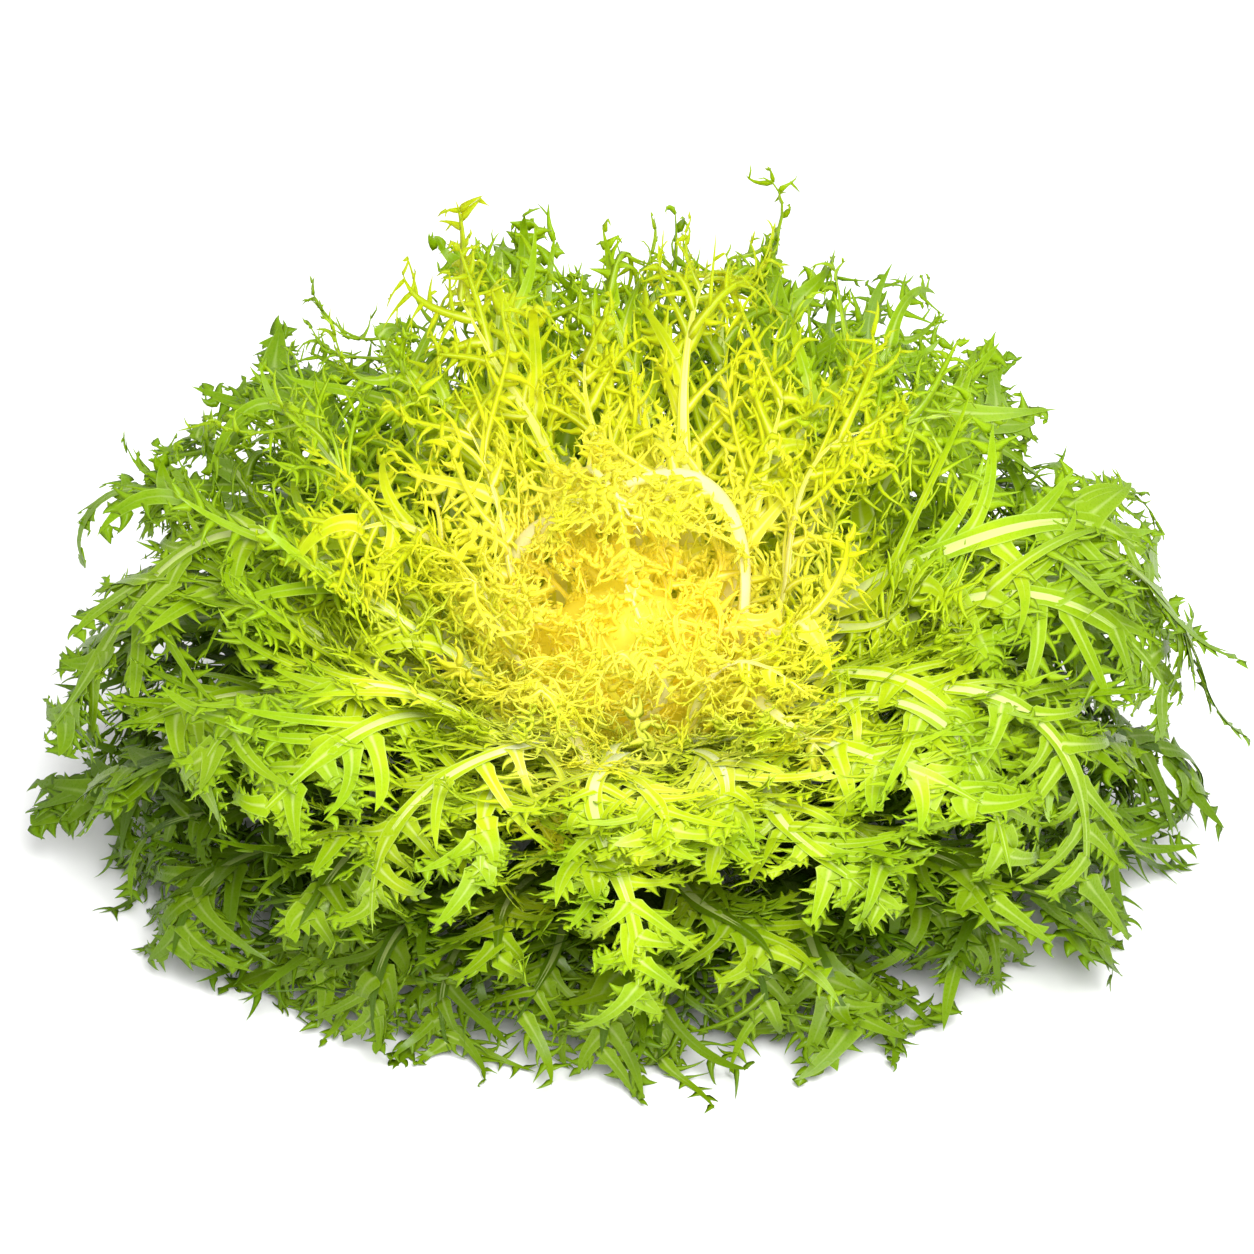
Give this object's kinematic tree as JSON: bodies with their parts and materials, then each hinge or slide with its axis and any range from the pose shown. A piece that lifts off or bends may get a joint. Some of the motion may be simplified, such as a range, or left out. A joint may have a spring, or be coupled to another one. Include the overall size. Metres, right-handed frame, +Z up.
{
  "type": "curly endive head",
  "caption": "Open rosette of finely cut curly endive leaves, yellow in the heart and green at the rim, on a short flat-cut stem that it rests on.",
  "frame": {"origin": "centre of the stem's flat cut face, which lies on the floor", "axes": "+Z up out of the cut stem, -Y the front that the heart leans and faces towards, +X to the right seen from the front"},
  "size_m": [0.3016, 0.2703, 0.1517],
  "materials": {
    "cut_stem": "pale cut root stock, matte, slightly fibrous and browned at the cut",
    "bud": "tight fine yellow heart leaves, satin, lets light through",
    "outer_leaf": "mid green serrated leaf, pale midrib, satin with a waxy sheen",
    "skirt_leaf": "fresh green frilled leaf, pale midrib, satin",
    "middle_leaf": "light green frilled leaf, pale midrib, satin",
    "upper_leaf": "yellow-green finely cut leaf, cream midrib, satin",
    "inner_leaf": "yellow finely cut leaf, cream midrib, satin",
    "heart_leaf": "bright yellow thread-fine leaf, cream midrib, satin"
  },
  "bodies": {
    "root": {"stem_base": "cut_stem", "heart_bud": "bud", "outer_leaf_01": "outer_leaf", "outer_leaf_02": "outer_leaf", "outer_leaf_03": "outer_leaf", "outer_leaf_04": "outer_leaf", "outer_leaf_05": "outer_leaf", "outer_leaf_06": "outer_leaf", "outer_leaf_07": "outer_leaf", "outer_leaf_08": "outer_leaf", "outer_leaf_09": "outer_leaf", "outer_leaf_10": "outer_leaf", "outer_leaf_11": "outer_leaf", "outer_leaf_12": "outer_leaf", "outer_leaf_13": "outer_leaf", "skirt_leaf_01": "skirt_leaf", "skirt_leaf_02": "skirt_leaf", "skirt_leaf_03": "skirt_leaf", "skirt_leaf_04": "skirt_leaf", "skirt_leaf_05": "skirt_leaf", "skirt_leaf_06": "skirt_leaf", "skirt_leaf_07": "skirt_leaf", "skirt_leaf_08": "skirt_leaf", "skirt_leaf_09": "skirt_leaf", "skirt_leaf_10": "skirt_leaf", "skirt_leaf_11": "skirt_leaf", "skirt_leaf_12": "skirt_leaf", "skirt_leaf_13": "skirt_leaf", "middle_leaf_01": "middle_leaf", "middle_leaf_02": "middle_leaf", "middle_leaf_03": "middle_leaf", "middle_leaf_04": "middle_leaf", "middle_leaf_05": "middle_leaf", "middle_leaf_06": "middle_leaf", "middle_leaf_07": "middle_leaf", "middle_leaf_08": "middle_leaf", "middle_leaf_09": "middle_leaf", "middle_leaf_10": "middle_leaf", "middle_leaf_11": "middle_leaf", "upper_leaf_01": "upper_leaf", "upper_leaf_02": "upper_leaf", "upper_leaf_03": "upper_leaf", "upper_leaf_04": "upper_leaf", "upper_leaf_05": "upper_leaf", "upper_leaf_06": "upper_leaf", "upper_leaf_07": "upper_leaf", "upper_leaf_08": "upper_leaf", "inner_leaf_01": "inner_leaf", "inner_leaf_02": "inner_leaf", "inner_leaf_03": "inner_leaf", "inner_leaf_04": "inner_leaf", "inner_leaf_05": "inner_leaf", "inner_leaf_06": "inner_leaf", "inner_leaf_07": "inner_leaf", "heart_leaf_01": "heart_leaf", "heart_leaf_02": "heart_leaf", "heart_leaf_03": "heart_leaf", "heart_leaf_04": "heart_leaf", "heart_leaf_05": "heart_leaf", "heart_leaf_06": "heart_leaf"}
  },
  "joints": []
}
